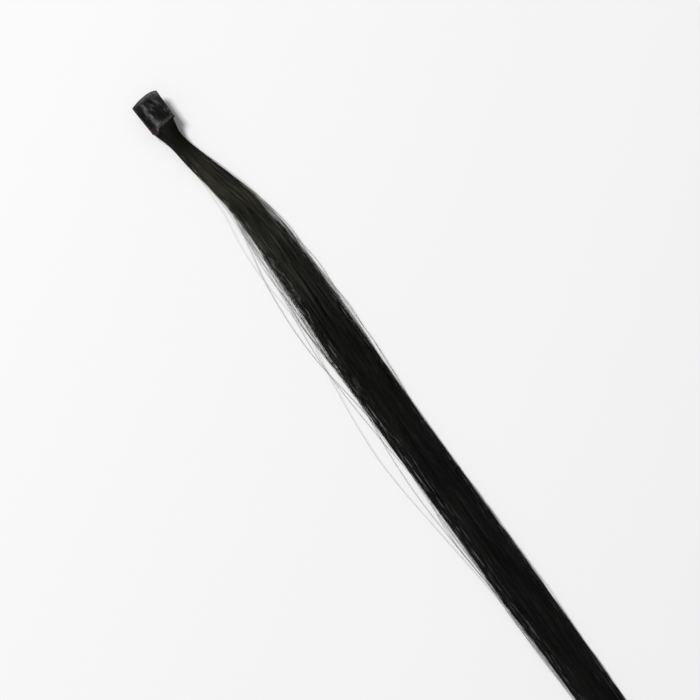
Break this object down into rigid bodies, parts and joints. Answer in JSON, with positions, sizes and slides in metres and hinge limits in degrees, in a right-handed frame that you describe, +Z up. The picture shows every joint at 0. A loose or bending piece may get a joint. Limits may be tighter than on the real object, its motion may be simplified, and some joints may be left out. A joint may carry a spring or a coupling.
{
  "type": "keratin tip hair extension",
  "caption": "Lock of straight black hair cast at its root into a moulded U-shaped keratin tip, lying flat with a gentle bend behind the tip, for bonding onto growing hair.",
  "frame": {"origin": "middle of the strand's footprint on the surface that it lies on", "axes": "+X along the strand from its keratin tip to its cut end, +Y to the side of the wider flange of the tip, +Z up from the surface with the tip's groove facing up"},
  "size_m": [0.2092, 0.0148, 0.0046],
  "materials": {
    "keratin": "near-black moulded keratin with a glossy, slightly streaky surface, brown where it is thin",
    "hair": "natural black straight human hair with a soft sheen along the hairs"
  },
  "bodies": {
    "root": {"keratin_tip": "keratin", "hair_lock": "hair"}
  },
  "joints": []
}
